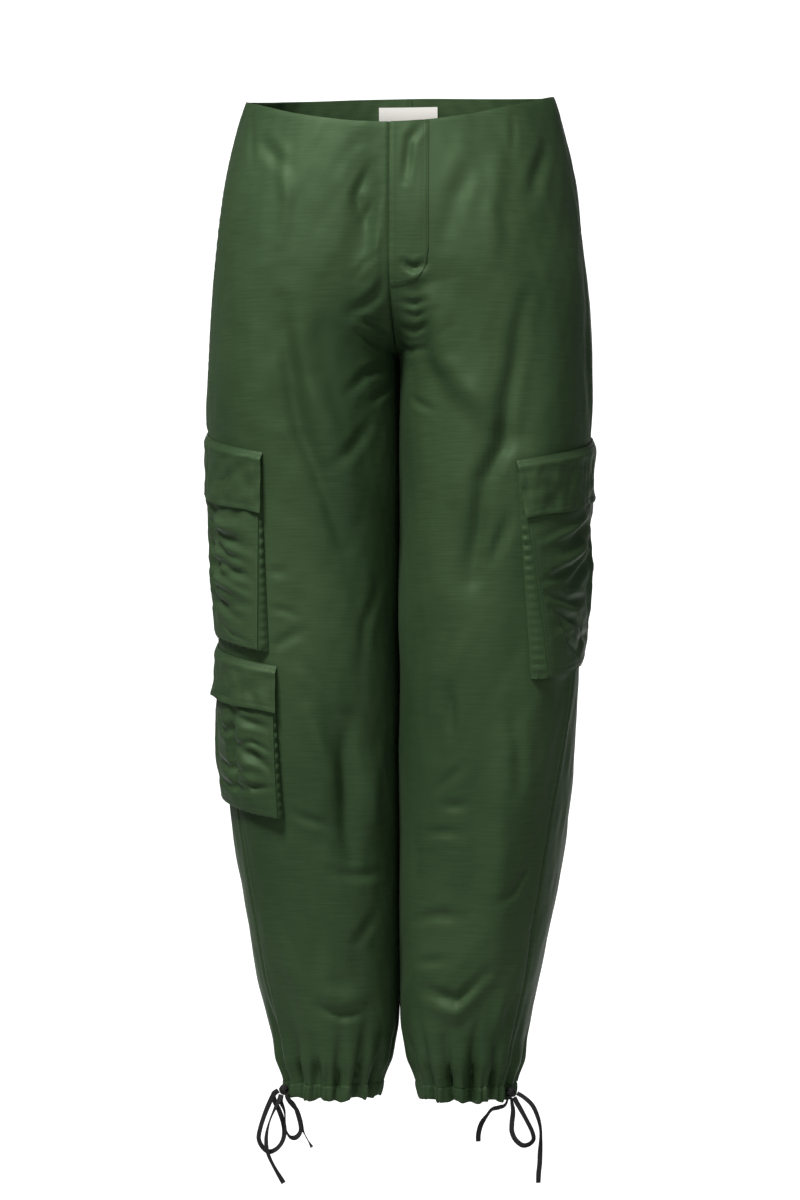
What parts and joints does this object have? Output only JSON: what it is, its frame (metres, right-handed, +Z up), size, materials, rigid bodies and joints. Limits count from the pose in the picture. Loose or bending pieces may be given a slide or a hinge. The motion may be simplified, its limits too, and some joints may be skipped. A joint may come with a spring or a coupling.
{
  "type": "cargo trousers",
  "caption": "Loose satin cargo trousers, filled out as worn, with flap pockets on the legs and gathered, tied hems.",
  "frame": {"origin": "middle of the waist opening, level with the waist edge at the side seams", "axes": "+Z up the body, -Y the front, +X the wearer's left"},
  "size_m": [0.3915, 0.2399, 1.0898],
  "materials": {
    "satin_cloth": "satin",
    "tie_tape": "matt",
    "label_cloth": "satin"
  },
  "bodies": {
    "root": {"front_left": "satin_cloth", "front_right": "satin_cloth", "back_left": "satin_cloth", "back_right": "satin_cloth", "hem_casing_left": "satin_cloth", "hem_casing_right": "satin_cloth", "fly": "satin_cloth", "back_facing": "satin_cloth", "pocket_right_upper_body": "satin_cloth", "pocket_right_upper_gusset": "satin_cloth", "pocket_right_upper_flap": "satin_cloth", "pocket_right_lower_body": "satin_cloth", "pocket_right_lower_gusset": "satin_cloth", "pocket_right_lower_flap": "satin_cloth", "pocket_left_body": "satin_cloth", "pocket_left_gusset": "satin_cloth", "pocket_left_flap": "satin_cloth", "tape_right_loop_outer": "tie_tape", "tape_right_tail_outer": "tie_tape", "tape_right_loop_inner": "tie_tape", "tape_right_tail_inner": "tie_tape", "tape_left_tail_outer": "tie_tape", "tape_left_loop": "tie_tape", "tape_left_tail_inner": "tie_tape", "knot_left": "tie_tape", "knot_right": "tie_tape", "label": "label_cloth"}
  },
  "joints": []
}
